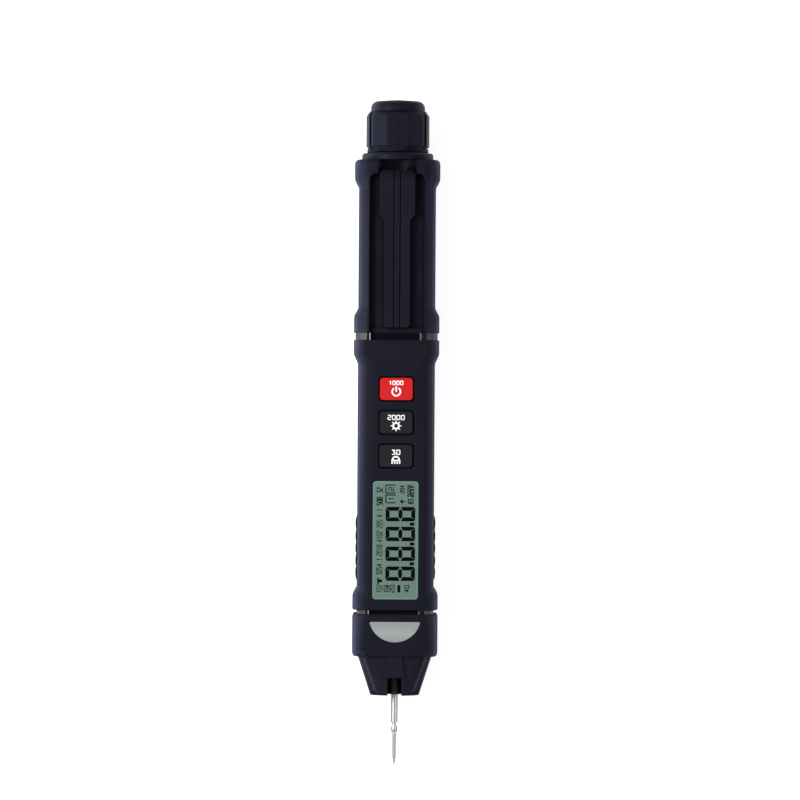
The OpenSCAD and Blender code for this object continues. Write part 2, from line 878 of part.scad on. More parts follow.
module cap_grip() {
    grip_in = cap_r + bond;
    color("#1f2028") difference() {
        union() {
            tube(knob_y, knob_y + base_ring_l, base_ring_r, grip_in);
            intersection() {
                turned([[grip_in, knob_y + base_ring_l - bond], [knob_r, knob_y + base_ring_l - bond],
                    [knob_r, knob_top - knob_chamfer_l], [knob_r - knob_chamfer_in, knob_top],
                    [grip_in, knob_top]]);
                for (i = [0:lobes - 1]) lobe_prism(360 * i / lobes);
            }
        }
        for (i = [0:lobes - 1])
            translate([0, 0, axis_z]) rotate([0, 360 / lobes * (i + 0.5), 0])
                translate([-groove_w / 2, knob_y + base_ring_l, knob_r - groove_depth])
                    cube([groove_w, knob_len, knob_r]);
        tube(knob_y + base_ring_l, knob_y + base_ring_l + foot_groove_l, knob_r + over, foot_groove_r);
    }
}

// One third of the grip: a flat middle facet between two outer ones
module lobe_prism(turn) {
    reach = 2 * knob_r;
    edge_a = 360 / lobes / 2;
    side_a = 38;
    // Where the middle facet meets the side facets
    mid_x = (facet_side_r - facet_mid_r * cos(side_a)) / sin(side_a);
    end_r = facet_side_r / cos(edge_a - side_a);
    translate([0, 0, axis_z]) rotate([0, turn, 0]) translate([0, knob_top + over, 0])
        rotate([90, 0, 0]) linear_extrude(knob_len + 2 * over)
            polygon([[0, 0], [end_r * sin(edge_a), end_r * cos(edge_a)], [mid_x, facet_mid_r],
                [-mid_x, facet_mid_r], [-end_r * sin(edge_a), end_r * cos(edge_a)]]);
}

module cap_liner() {
    color("#6d6d70") tube_disc(neck_end + slip, neck_end + slip + liner_t, liner_r);
}

module tube_disc(y_a, y_b, r) {
    rod(y_a, y_b, r);
}

// Half-moon lens outline as a full round to be cut by its straight upper edge
lens_top_y = collar_top - lens_from_top;
lens_centre_y = lens_top_y + sqrt(lens_r * lens_r - lens_w * lens_w / 4);

module half_moon(z_a, z_b, grow = 0) {
    intersection() {
        translate([0, lens_centre_y, z_a]) cylinder(h = z_b - z_a, r = lens_r + grow);
        rounded_block(lens_w + 2 * grow, 2 * lens_r, lens_corner + grow, lens_top_y + grow - lens_r,
            z_a - over, z_b + over);
    }
}

module nose_collar() {
    color("#22232c") difference() {
        union() {
            difference() {
                loft(collar_form);
                cavity_prism(collar_y - over, collar_top + over);
            }
            cavity_prism(collar_top - neck_t, collar_top, bond);
            neck_prism(collar_top - neck_t, main_y + neck_lower_in);
            intersection() {
                union() {
                    neck_prism(collar_top - neck_t, main_y + rib_back + rib_l + neck_t);
                    cavity_prism(main_y + rib_back, main_y + rib_back + rib_l, rib_out);
                }
                below(axis_z - 2 * over);
            }
        }
        neck_prism(collar_y - over, main_y + neck_in + over, -neck_t);
        half_moon(body_d - wall - over, body_d + over, bond);
    }
}

module slice(y, hw, hd, r) {
    along(y, y + bond) polygon(section(hw, hd, r));
}

module nose_cone() {
    cone_end_half = cone_end_w / 2;
    color("#22232c") difference() {
        union() {
            hull() {
                slice(collar_y - bond, cone_top_half, cone_top_half_d, cone_corner);
                slice(cone_y, cone_end_half, cone_end_half_d, cone_end_corner);
            }
            difference() {
                cavity_prism(collar_y - bond, collar_y + spigot_l, -slip);
                cavity_prism(collar_y, collar_y + spigot_l + over, -slip - spigot_t);
            }
            front_panel();
        }
        rod(cone_y - over, collar_y + over, sleeve_r + bond);
        rod(collar_y - cone_hollow, collar_y + over, cavity_half_d - spigot_t);
        block(notch_w, cone_y - over, cone_y + notch_l, axis_z - notch_floor, body_d);
        for (side = [-1, 1], face = [-1, 1]) flute(side, face);
        rod(cone_y - over, cone_y + torch_set + torch_l, torch_r + bond, z = axis_z - torch_drop);
        rod(cone_y + torch_set + torch_l - torch_rim_t, collar_y, torch_rim_r + bond,
            z = axis_z - torch_drop);
    }
}

// Raised trapezoid on the cone's front, above the notch
module front_panel() {
    slope = (cone_top_half_d - cone_end_half_d) / cone_len;
    end_d = cone_top_half_d - slope * panel_l;
    hull() {
        block(panel_top_w, collar_y - bond, collar_y, axis_z + cone_end_half_d,
            axis_z + cone_top_half_d + panel_raise);
        block(panel_end_w, collar_y - panel_l, collar_y - panel_l + bond,
            axis_z + notch_w, axis_z + end_d + panel_raise);
    }
}

// Distance from the axis to a rounded corner of a section
function corner_reach(hw, hd, r) = norm([hw - r, hd - r]) + r;

// Tapered flute down a corner of the cone: deepest at the free end, gone at the collar
module flute(side, face) {
    reach_end = corner_reach(cone_end_w / 2, cone_end_half_d, cone_end_corner) + flute_r - flute_depth;
    reach_top = corner_reach(cone_top_half, cone_top_half_d, cone_corner) + flute_r + slip;
    lean = atan((reach_top - reach_end) / cone_len);
    translate([0, cone_y, axis_z]) scale([1, 1, face]) rotate([0, -side * (90 - flute_angle), 0])
        translate([0, 0, reach_end]) rotate([lean - 90, 0, 0])
            translate([0, 0, -over]) cylinder(h = cone_len + 2 * over, r = flute_r);
}

module indicator_lens() {
    color("#aab0af") {
        half_moon(body_d - wall - lens_lip_t, body_d);
        intersection() {
            half_moon(body_d - wall - lens_lip_t, body_d - wall + bond, lens_lip);
            cavity_prism(collar_y, collar_top - neck_t - slip, -bond);
        }
    }
}

module indicator_leds() {
    lens_back = body_d - wall - lens_lip_t;
    tall = lens_back - led_gap - board_top;
    color("#e8e4d8") for (x = [-led_x, led_x]) translate([x, lens_top_y - led_rim_r - over, board_top]) {
        cylinder(h = tall - led_r, r = led_r);
        translate([0, 0, tall - led_r]) sphere(r = led_r);
        cylinder(h = led_rim_t, r = led_rim_r);
    }
}

module torch_led() {
    y_a = cone_y + torch_set;
    color("#f2f2ea") {
        rod(y_a + torch_r, y_a + torch_l, torch_r, z = axis_z - torch_drop);
        translate([0, y_a + torch_r, axis_z - torch_drop]) sphere(r = torch_r);
        rod(y_a + torch_l - torch_rim_t, y_a + torch_l, torch_rim_r, z = axis_z - torch_drop);
    }
}

probe_thin_y = tip_y + probe_point_l + probe_thin_l;
probe_ring_y = probe_thin_y + probe_ring_l;
probe_neck_y = probe_ring_y + probe_neck_l;

module probe_tip() {
    color("#b9b9bd") turned([
        [0, tip_y], [probe_point_r, tip_y], [probe_thin_r, tip_y + probe_point_l],
        [probe_thin_r, probe_thin_y], [probe_ring_end_r, probe_thin_y + probe_ring_end_r - probe_thin_r],
        [probe_ring_r, probe_ring_y - probe_ring_l / 2], [probe_ring_end_r, probe_ring_y],
        [probe_neck_r, probe_ring_y], [probe_neck_r, probe_neck_y], [probe_r, probe_neck_y],
        [probe_r, cone_y], [probe_shank_r, cone_y], [probe_shank_r, probe_end], [0, probe_end]
    ]);
}

module probe_sleeve() {
    color("#17171a") tube(cone_y + bond, collar_y + sleeve_back, sleeve_r, probe_shank_r + bond);
}

module probe_socket() {
    color("#c9a24b") {
        tube(probe_end - socket_tube_l, probe_end, socket_tube_r, probe_shank_r + bond);
        block(socket_tab_w, probe_end - bond, probe_end + socket_tab_l,
            axis_z + probe_shank_r + bond, board_z - bond);
    }
}

module trim_ring(y_a, y_b, out) {
    difference() {
        along(y_a, y_b) polygon(body_section(waist_half + out, half_d - ring_face_inset));
        neck_prism(y_a - over, y_b + over, bond);
        block(ring_window_w, y_a - over, y_b + over, axis_z, body_d + over);
    }
}

module upper_trim_ring() { color("#5c5c58") trim_ring(main_top, battery_y, upper_ring_out); }
module lower_trim_ring() { color("#5c5c58") trim_ring(collar_top, main_y, lower_ring_out); }

module grip_recess() {
    for (side = [-1, 1])
        block(2 * grip_sink, grip_y - bond, grip_y + grip_l + bond, axis_z - grip_w / 2 - bond,
            axis_z + grip_w / 2 + bond, x = side * waist_half);
}

// Ribbed pads let into the sides of the display section
module side_grips() {
    color("#17171c") for (side = [-1, 1]) {
        block(grip_sink, grip_y, grip_y + grip_l, axis_z - grip_w / 2, axis_z + grip_w / 2,
            x = side * (waist_half - grip_sink / 2));
        intersection() {
            for (i = [0:grip_ribs - 1])
                translate([side * (waist_half + rib_rise - rib_r), grip_y + grip_first + i * rib_pitch,
                    axis_z - grip_w / 2]) cylinder(h = grip_w, r = rib_r);
            block(2 * rib_rise, grip_y, grip_y + grip_l, axis_z - grip_w / 2, axis_z + grip_w / 2,
                x = side * (waist_half + rib_rise - bond));
        }
    }
}

front_shell();
rear_shell();
display_window();
lcd_glass();
lcd_holder();
backlight_plate();
zebra_strip();
main_board();
key_switches();
power_button();
hold_button();
lamp_button();
measuring_chip();
board_parts();
buzzer();
case_screws();
battery_housing();
battery_cover();
cover_screw();
battery_left();
battery_right();
battery_springs();
contact_plates();
pocket_clip();
tail_collar();
socket_insulator();
com_contact();
tail_cap();
cap_grip();
cap_liner();
nose_collar();
nose_cone();
indicator_lens();
indicator_leds();
torch_led();
probe_tip();
probe_sleeve();
probe_socket();
upper_trim_ring();
lower_trim_ring();
side_grips();
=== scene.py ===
"""Pen multimeter: finishes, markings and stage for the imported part, laid out as an add-on."""
import math

import bpy
from mathutils import Color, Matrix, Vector


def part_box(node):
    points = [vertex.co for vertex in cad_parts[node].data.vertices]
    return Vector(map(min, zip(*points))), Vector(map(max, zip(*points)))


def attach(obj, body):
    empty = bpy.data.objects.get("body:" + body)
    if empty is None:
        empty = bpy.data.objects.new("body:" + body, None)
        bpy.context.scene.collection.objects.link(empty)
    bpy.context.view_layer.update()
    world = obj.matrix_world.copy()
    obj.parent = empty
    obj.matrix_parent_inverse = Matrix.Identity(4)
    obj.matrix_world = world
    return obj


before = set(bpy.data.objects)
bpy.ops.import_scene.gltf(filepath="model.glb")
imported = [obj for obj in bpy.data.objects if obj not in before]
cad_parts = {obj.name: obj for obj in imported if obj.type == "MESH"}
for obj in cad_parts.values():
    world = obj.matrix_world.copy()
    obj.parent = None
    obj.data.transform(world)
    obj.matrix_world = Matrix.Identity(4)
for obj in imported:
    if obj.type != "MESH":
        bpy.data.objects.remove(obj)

bl_info = {
    "name": "Pen multimeter",
    "blender": (4, 5, 0),
    "version": (1, 0, 0),
    "location": "View3D > Sidebar > Pen meter",
    "description": "Finishes the mouldings of a pen multimeter and draws its display and key markings",
    "category": "Object",
}

MM = 0.001

# Tones that several finishes share
# Painted shade: the near black given to creases, gaps and hollows
CREASE_SHADE = (0.0020, 0.0020, 0.0030)
GLOSS_BLACK = (0.004, 0.004, 0.006)
BRASS = (0.72, 0.50, 0.20)
SIDE_SHEEN = (0.6, 0.65, 1.0)
COOL_WHITE = (0.96, 0.97, 1.0)

# Noise over a moulding: its drift and grain in cells to the metre, and the depth of the grain
DRIFT_SCALE = 90.0
GRAIN_SCALE = 2600.0
GRAIN_DEPTH = 0.12 * MM

# Prints: how far they stand off what carries them
PRINT_LIFT = 0.02 * MM


class Sock:
    """A shader output that takes part in sums."""

    def __init__(self, shader, socket):
        self.shader = shader
        self.socket = socket

    def math(self, operation, *others):
        names = dict(enumerate((self,) + others))
        return self.shader.node("ShaderNodeMath", names, operation=operation)

    def __add__(self, other):
        return self.math("ADD", other)

    def __sub__(self, other):
        return self.math("SUBTRACT", other)

    def __mul__(self, other):
        return self.math("MULTIPLY", other)

    def __truediv__(self, other):
        return self.math("DIVIDE", other)

    def __neg__(self):
        return self.math("MULTIPLY", -1.0)

    def __rsub__(self, other):
        return -self + other

    __radd__ = __add__
    __rmul__ = __mul__

    def above(self, edge, soft):
        """0 below the edge and 1 above it, with a soft step."""
        return ((self - edge) / soft + 0.5).math("MINIMUM", 1.0).math("MAXIMUM", 0.0)

    def between(self, low, high, soft):
        """1 from low to high and 0 beyond them, with soft steps."""
        return self.above(low, soft) * (1.0 - self.above(high, soft))


class Shader:
    """A material built round one Principled shader."""

    def __init__(self, name):
        self.material = bpy.data.materials.new(name)
        self.material.use_nodes = True
        self.tree = self.material.node_tree
        self.main = self.tree.nodes["Principled BSDF"]

    def plug(self, socket, value):
        """Links a socket to an output, or gives it a value. A colour gets its alpha."""
        if isinstance(value, Sock):
            self.tree.links.new(value.socket, socket)
        elif isinstance(value, (tuple, Color)) and len(value) == 3 and len(socket.default_value) == 4:
            socket.default_value = (*value, 1.0)
        else:
            socket.default_value = value

    def node(self, kind, inputs=None, out=0, **settings):
        """Any node: its inputs by name or place, its settings as keywords."""
        node = self.tree.nodes.new(kind)
        for key, value in settings.items():
            setattr(node, key, value)
        for key, value in (inputs or {}).items():
            self.plug(node.inputs[key], value)
        return Sock(self, node.outputs[out])

    def set(self, **values):
        """Gives the Principled shader's sockets their values, by name with _ for a space."""
        for key, value in values.items():
            self.plug(self.main.inputs[key.replace("_", " ")], value)

    def split(self, vector):
        """A vector's X, Y and Z, as three sockets."""
        parts = self.node("ShaderNodeSeparateXYZ", {0: vector}).socket.node.outputs
        return [Sock(self, part) for part in parts]

    def place(self):
        return self.node("ShaderNodeTexCoord", out="Object")

    def axes(self):
        """The place's X, Y and Z in metres."""
        return self.split(self.place())

    def normal(self):
        """The X, Y and Z of the way that a face looks."""
        return self.split(self.node("ShaderNodeNewGeometry", out="Normal"))

    def noise(self, scale, detail=2.0):
        return self.node("ShaderNodeTexNoise", {"Vector": self.place(), "Scale": scale, "Detail": detail})

    def face(self):
        """The colour that the shader has so far."""
        return Sock(self, self.main.inputs["Base Color"].links[0].from_socket)

    def mix(self, factor, low, high):
        return self.node("ShaderNodeMix", {"Factor": factor, 6: low, 7: high}, out=2, data_type="RGBA")


def moulded(name, low, high, rough=0.5, grain=0.12, coat=0.0, side=None, arris=0.0, reach=2.0 * MM,
            skirt=False, lean=0.66):
    """Moulded plastic: two near tones, a fine grain and a roughness that drifts.

    With a side colour, which is a painted sheen, the faces that lean across the pen by more than lean take
    it, and creases get painted shade within a reach. With an arris, edges are shaded as if they were rounded
    by that radius. With a skirt, the faces that look aside get painted shade, as dark as the gap that they
    stand in."""
    shader = Shader(name)
    drift = shader.noise(DRIFT_SCALE)
    color = shader.mix(drift, low, high)
    if side is not None:
        # Painted sheen: faces that lean across the pen take a lighter tone, as if lit from there
        across = shader.normal()[0].math("ABSOLUTE")
        straight = across.above(edge=0.955, soft=0.06) * 0.6
        color = shader.mix(across.above(lean, soft=0.6) * (1.0 - straight), color, side)
        # Painted shade: ambient occlusion darkens the creases
        open_sky = shader.node("ShaderNodeAmbientOcclusion", {"Distance": reach}, out="AO", samples=8)
        color = shader.mix(open_sky.above(edge=0.6, soft=0.5), CREASE_SHADE, color)
    if skirt:
        # Painted shade: faces that look aside take the dark of the gap round them
        up = shader.normal()[2]
        color = shader.mix(up.above(edge=0.93, soft=0.1), CREASE_SHADE, color)
    bump = {"Height": shader.noise(GRAIN_SCALE, 3.0), "Strength": grain, "Distance": GRAIN_DEPTH}
    if arris:
        bump["Normal"] = shader.node("ShaderNodeBevel", {"Radius": arris}, samples=6)
    shader.set(
        Base_Color=color,
        Roughness=(drift - 0.5) * 0.12 + rough,
        Normal=shader.node("ShaderNodeBump", bump),
        Coat_Weight=coat,
        Coat_Roughness=0.08,
        Specular_IOR_Level=0.35 if side is None else 0.09,
    )
    if side is not None:
        shader.set(Specular_Tint=SIDE_SHEEN)
    return shader


def metal(name, color, rough, streak=(40.0, 900.0, 900.0), flank_shade=None):
    """Turned or drawn metal with streaks along one way. A colour given for what looks aside is painted shade
    there.
    """
    shader = Shader(name)
    stretched = shader.node("ShaderNodeMapping", {"Vector": shader.place(), "Scale": streak})
    lines = shader.node("ShaderNodeTexNoise", {"Vector": stretched, "Scale": 6.0, "Detail": 3.0})
    dark = tuple(c * 0.82 for c in color)
    face = shader.mix(lines, dark, color)
    if flank_shade is not None:
        # Painted shade: the faces that look across the pen are darkened
        across = shader.normal()[0].math("ABSOLUTE")
        face = shader.mix(across.above(edge=0.70, soft=0.3), face, flank_shade)
    shader.set(Base_Color=face, Roughness=(lines - 0.5) * 0.2 + rough, Metallic=1.0)
    return shader


def finish(node, shader, width=0.0, angle=24.0, smooth=0.0):
    """Gives a CAD node its material. A width rounds its edges, smooth only blends flat neighbours."""
    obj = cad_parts[node]
    obj.data.materials.clear()
    obj.data.materials.append(shader.material)
    if not (width or smooth):
        return
    for poly in obj.data.polygons:
        poly.use_smooth = True
    weld = obj.modifiers.new("weld", "WELD")
    weld.merge_threshold = 0.002 * MM
    if width:
        bevel = obj.modifiers.new("edges", "BEVEL")
        bevel.width = width
        bevel.segments = 3
        bevel.limit_method = "ANGLE"
        bevel.angle_limit = math.radians(angle)
        bevel.miter_outer = "MITER_ARC"
    else:
        split = obj.modifiers.new("split", "EDGE_SPLIT")
        split.split_angle = math.radians(smooth)
    even = obj.modifiers.new("even", "WEIGHTED_NORMAL")
    even.weight = 60
    even.keep_sharp = False


def print_shapes(name, shapes, z, shader, body, thick):
    """A print that rides on a body: flat shapes, each a list of points in millimetres, at one height."""
    points, faces = [], []
    for shape in shapes:
        if sum(a[0] * b[1] - b[0] * a[1] for a, b in zip(shape, shape[1:] + shape[:1])) < 0:
            shape = shape[::-1]
        faces.append(list(range(len(points), len(points) + len(shape))))
        points += [(x * MM, y * MM, z) for x, y in shape]
    mesh = bpy.data.meshes.new(name)
    mesh.from_pydata(points, [], faces)
    mesh.update()
    mesh.materials.append(shader.material)
    obj = bpy.data.objects.new(name, mesh)
    bpy.context.collection.objects.link(obj)
    solid = obj.modifiers.new("thick", "SOLIDIFY")
    solid.thickness = thick
    solid.offset = -1.0
    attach(obj, body)


def bar(x, y, w, l):
    """An upright rectangle round a point."""
    left, right, bottom, top = x - w / 2, x + w / 2, y - l / 2, y + l / 2
    return [(left, bottom), (right, bottom), (right, top), (left, top)]


def stroke(points, width, closed=False):
    """Quads along a line of points."""
    following = points[1:] + points[:1] if closed else points[1:]
    quads = []
    for (ax, ay), (bx, by) in zip(points, following):
        length = math.hypot(bx - ax, by - ay)
        nx, ny = (ay - by) / length * width / 2, (bx - ax) / length * width / 2
        quads.append([(ax + nx, ay + ny), (ax - nx, ay - ny), (bx - nx, by - ny), (bx + nx, by + ny)])
    return quads


def ring(x, y, r, width, start=0.0, sweep=360.0, steps=36):
    """Quads along an arc, its ends square."""
    inner, outer = r - width / 2, r + width / 2
    shapes = []
    for i in range(steps):
        a, b = (math.radians(start + sweep * k / steps) for k in (i, i + 1))
        corners = ((inner, a), (outer, a), (outer, b), (inner, b))
        shapes.append([(x + q * math.cos(t), y + q * math.sin(t)) for q, t in corners])
    return shapes


# Each figure as one line, in a cell 1 wide and 2 high
FIGURES = {
    "0": [(0, 0), (1, 0), (1, 2), (0, 2), (0, 0)],
    "1": [(0.2, 1.5), (0.6, 2), (0.6, 0)],
    "2": [(0, 2), (1, 2), (1, 1.1), (0, 0.9), (0, 0), (1, 0)],
    "3": [(0, 2), (1, 2), (0.45, 1.15), (1, 0.9), (1, 0), (0, 0)],
    "4": [(0.8, 0), (0.8, 2), (0, 0.6), (1.05, 0.6)],
    "5": [(1, 2), (0, 2), (0, 1.1), (1, 1.1), (1, 0), (0, 0)],
    "6": [(1, 2), (0, 1.4), (0, 0), (1, 0), (1, 1), (0, 1)],
    "8": [(0, 0), (0, 2), (1, 2), (1, 0), (0, 0), (0, 1), (1, 1)],
}
FIGURE_WIDTH_SHARE = 0.66


def figures(text, x, y, tall, step, pen, along_pen=False):
    """Plain figures centred on a point. Along the pen they read towards its tail."""
    wide = step * FIGURE_WIDTH_SHARE
    shapes = []
    for i, sign in enumerate(text):
        if sign == " ":
            continue
        start = (i - (len(text) - 1) / 2) * step - wide / 2
        line = [(start + u * wide, (v / 2 - 0.5) * tall) for u, v in FIGURES[sign]]
        line = [(x - b, y + a) if along_pen else (x + a, y + b) for a, b in line]
        shapes += stroke(line, pen)
    return shapes


# The display's small marks, placed across and along the pen from the window's middle, in millimetres.
# Figures: text, place, height, pitch and pen. They read towards the tail.
MARK_FIGURES = (
    ("32", -5.05, 15.9, 1.7, 0.92, 0.28),
    ("508", -5.05, 12.4, 1.7, 0.92, 0.3),
    ("1", -5.05, 9.6, 1.7, 0.92, 0.2),
    ("4", -5.05, 7.7, 1.7, 0.92, 0.2),
    ("205", -5.05, 5.2, 1.7, 0.92, 0.2),
    ("4102", -5.05, 1.2, 1.7, 0.92, 0.2),
    ("2018", -5.05, -3.2, 1.7, 0.92, 0.2),
    ("3054 1", -5.05, -8.4, 1.7, 0.92, 0.22),
    ("102", -5.05, -15.4, 1.7, 0.92, 0.18),
    ("2", -1.4, 16.3, 1.5, 1.6, 0.26),
    ("1", -1.4, 13.15, 1.5, 1.6, 0.26),
    ("204", 2.1, 16.2, 1.3, 0.9, 0.24),
    ("5028", 4.3, 15.7, 0.95, 0.95, 0.26),
    ("6034", 5.3, 15.5, 0.8, 0.95, 0.26),
    ("83", 4.8, 12.4, 1.6, 0.85, 0.3),
    ("20", -0.95, -15.4, 1.35, 1.35, 0.26),
    ("40", 3.7, -15.4, 1.35, 1.3, 0.26),
)
# Bars: place, width and length
MARK_BARS = (
    (-5.4, -12.9, 0.5, 1.9),
    (-4.7, -12.9, 1.2, 0.8),
    (2.4, 12.3, 1.3, 0.35),
    (-2.5, -14.7, 0.8, 0.7),
    (-2.85, -15.6, 0.5, 0.4),
    (1.2, -15.4, 0.95, 2.3),
)
# Frames: corners, pen, and whether the line closes
MARK_FRAMES = (
    (((0.0, 15.05), (-3.1, 15.05), (-3.1, 17.55), (0.0, 17.55)), 0.34, False),
    (((0.0, 11.9), (-3.1, 11.9), (-3.1, 14.4), (0.0, 14.4)), 0.34, False),
    (((-3.5, -14.4), (-2.2, -14.4), (-2.2, -16.3), (-3.5, -16.3)), 0.26, True),
)
MARK_ARROW = ((2.2, 13.2), (2.2, 11.4), (1.4, 12.3))


class MouldProps(bpy.types.PropertyGroup):
    """Finish of the shells, the battery section, the clip and the nose."""

    navy: bpy.props.FloatVectorProperty(
        name="Navy", description="Darker tone of the navy plastic",
        default=(0.0116, 0.0117, 0.0179), min=0, max=1, subtype="COLOR")
    navy_light: bpy.props.FloatVectorProperty(
        name="Navy, lighter", description="Lighter tone that drifts over the navy plastic",
        default=(0.0141, 0.0142, 0.0218), min=0, max=1, subtype="COLOR")
    # Painted sheen: a lighter tone that stands in for light on the faces that lean across the pen
    navy_painted_sheen: bpy.props.FloatVectorProperty(
        name="Navy, sides", description="Tone of the faces that lean across the pen",
        default=(0.0560, 0.0605, 0.1100), min=0, max=1, subtype="COLOR")
    cone: bpy.props.FloatVectorProperty(
        name="Cone", description="Darker tone of the nose cone",
        default=(0.0155, 0.0158, 0.0250), min=0, max=1, subtype="COLOR")
    cone_light: bpy.props.FloatVectorProperty(
        name="Cone, lighter", description="Lighter tone that drifts over the nose cone",
        default=(0.0185, 0.0188, 0.0295), min=0, max=1, subtype="COLOR")
    # Painted sheen: a lighter tone that stands in for light on the cone's leaning faces
    cone_painted_sheen: bpy.props.FloatVectorProperty(
        name="Cone, sides", description="Tone of the cone's faces that lean across the pen",
        default=(0.0300, 0.0320, 0.0560), min=0, max=1, subtype="COLOR")
    edge: bpy.props.FloatProperty(
        name="Edge radius", description="Rounding of the mouldings' edges", default=0.28 * MM, unit="LENGTH")
    arris: bpy.props.FloatProperty(
        name="Softened angle", description="Faces that meet at less than this are shaded as one",
        default=math.radians(34), subtype="ANGLE")
    rough: bpy.props.FloatProperty(
        name="Roughness", description="Roughness of the navy plastic", default=0.5, min=0, max=1,
        subtype="FACTOR")
    grain: bpy.props.FloatProperty(
        name="Grain", description="Depth of the moulded grain", default=0.12, min=0, max=1, subtype="FACTOR")


class TailProps(bpy.types.PropertyGroup):
    """Finish of the tail cap and its grip."""

    cap: bpy.props.FloatVectorProperty(
        name="Cap", description="Darker tone of the cap and its collar",
        default=(0.0105, 0.0108, 0.0180), min=0, max=1, subtype="COLOR")
    cap_light: bpy.props.FloatVectorProperty(
        name="Cap, lighter", description="Lighter tone that drifts over the cap",
        default=(0.0125, 0.0128, 0.0215), min=0, max=1, subtype="COLOR")
    grip: bpy.props.FloatVectorProperty(
        name="Grip", description="Darker tone of the lobed grip",
        default=(0.0118, 0.0120, 0.0185), min=0, max=1, subtype="COLOR")
    grip_light: bpy.props.FloatVectorProperty(
        name="Grip, lighter", description="Lighter tone that drifts over the lobed grip",
        default=(0.0138, 0.0140, 0.0220), min=0, max=1, subtype="COLOR")


class TrimProps(bpy.types.PropertyGroup):
    """Finish of the trim rings and the side grips."""

    ring: bpy.props.FloatVectorProperty(
        name="Ring", description="Darker tone of the trim rings",
        default=(0.042, 0.042, 0.042), min=0, max=1, subtype="COLOR")
    ring_light: bpy.props.FloatVectorProperty(
        name="Ring, lighter", description="Lighter tone that drifts over the rings",
        default=(0.054, 0.053, 0.052), min=0, max=1, subtype="COLOR")
    rubber: bpy.props.FloatVectorProperty(
        name="Rubber", description="Darker tone of the side grips",
        default=(0.0120, 0.0125, 0.0210), min=0, max=1, subtype="COLOR")
    rubber_light: bpy.props.FloatVectorProperty(
        name="Rubber, lighter", description="Lighter tone that drifts over the side grips",
        default=(0.0150, 0.0155, 0.0260), min=0, max=1, subtype="COLOR")
    # Painted sheen: a lighter tone that stands in for light where the ribs lean across the pen
    rubber_painted_sheen: bpy.props.FloatVectorProperty(
        name="Rubber, sides", description="Tone of the ribs where they look across the pen",
        default=(0.0400, 0.0425, 0.0750), min=0, max=1, subtype="COLOR")


class KeyProps(bpy.types.PropertyGroup):
    """Colours of the keys."""

    red: bpy.props.FloatVectorProperty(
        name="Power key", description="Darker tone of the red key",
        default=(0.72, 0.015, 0.015), min=0, max=1, subtype="COLOR")
    red_light: bpy.props.FloatVectorProperty(
        name="Power key, lighter", description="Lighter tone that drifts over the red key",
        default=(0.78, 0.019, 0.019), min=0, max=1, subtype="COLOR")
    grey: bpy.props.FloatVectorProperty(
        name="Other keys", description="Darker tone of the two grey keys",
        default=(0.0155, 0.0155, 0.0190), min=0, max=1, subtype="COLOR")
    grey_light: bpy.props.FloatVectorProperty(
        name="Other keys, lighter", description="Lighter tone that drifts over the two grey keys",
        default=(0.0190, 0.0190, 0.0230), min=0, max=1, subtype="COLOR")
    edge: bpy.props.FloatProperty(
        name="Key edge", description="Rounding of the keys' edges", default=0.40 * MM, unit="LENGTH")


class DisplayProps(bpy.types.PropertyGroup):
    """Colours and digits of the display."""

    pane: bpy.props.FloatVectorProperty(
        name="Window", description="Darker tone of the window",
        default=(0.152, 0.243, 0.205), min=0, max=1, subtype="COLOR")
    pane_light: bpy.props.FloatVectorProperty(
        name="Window, lighter", description="Lighter tone that drifts over the window",
        default=(0.166, 0.260, 0.220), min=0, max=1, subtype="COLOR")
    # Painted highlight: the lighter line inside the window's edge
    pane_rim_highlight: bpy.props.FloatVectorProperty(
        name="Window's rim", description="Tone of the line inside the window's edge",
        default=(0.215, 0.315, 0.272), min=0, max=1, subtype="COLOR")
    digit_height: bpy.props.FloatProperty(
        name="Digit height", description="Height of a digit, across the pen", default=9.37 * MM,
        unit="LENGTH")
    digit_width: bpy.props.FloatProperty(
        name="Digit width", description="Width of a digit, along the pen", default=4.58 * MM,
        unit="LENGTH")
    digit_pitch: bpy.props.FloatProperty(
        name="Digit pitch", description="Distance from one digit to the next", default=6.31 * MM,
        unit="LENGTH")
    bar: bpy.props.FloatProperty(
        name="Segment width", description="Width of a digit's segments", default=1.24 * MM, unit="LENGTH")


class NoseProps(bpy.types.PropertyGroup):
    """Colours of the indicator lens and the probe."""

    lens: bpy.props.FloatVectorProperty(
        name="Lens", description="Tone of the half-moon lens",
        default=(0.37, 0.39, 0.385), min=0, max=1, subtype="COLOR")
    # Painted highlight: the lighter band across the lens
    lens_highlight: bpy.props.FloatVectorProperty(
        name="Lens, band", description="Tone of the lighter band across the lens",
        default=(0.44, 0.46, 0.45), min=0, max=1, subtype="COLOR")
    steel: bpy.props.FloatVectorProperty(
        name="Probe", description="Tone of the probe's steel",
        default=(0.84, 0.84, 0.84), min=0, max=1, subtype="COLOR")
    # Painted shade: the darker tone of the probe where it looks across the pen
    flank_shade: bpy.props.FloatVectorProperty(
        name="Probe, flanks", description="Tone of the probe's flanks",
        default=(0.065, 0.065, 0.068), min=0, max=1, subtype="COLOR")


class StageProps(bpy.types.PropertyGroup):
    """Camera and light."""

    height: bpy.props.FloatProperty(
        name="Camera height", description="Camera's height over the pen", default=1.6, unit="LENGTH")
    span: bpy.props.FloatProperty(
        name="Picture width", description="What the picture spans at the pen's axis", default=0.256,
        unit="LENGTH")
    roll: bpy.props.FloatProperty(
        name="Camera roll", description="Turn of the picture", default=math.radians(0.36),
        subtype="ANGLE")
    key: bpy.props.FloatProperty(
        name="Key light", description="Power of the lamp at the left", default=2.75, unit="POWER")
    fill: bpy.props.FloatProperty(
        name="Fill light", description="Power of the lamp at the right", default=0.4, unit="POWER")
    room: bpy.props.FloatProperty(
        name="Room light", description="Strength of the even light from all round", default=0.35, min=0)
    glow: bpy.props.FloatProperty(
        name="Floor glow", description="White that the floor shows to the camera and in reflections",
        default=0.78, min=0, max=1, subtype="FACTOR")


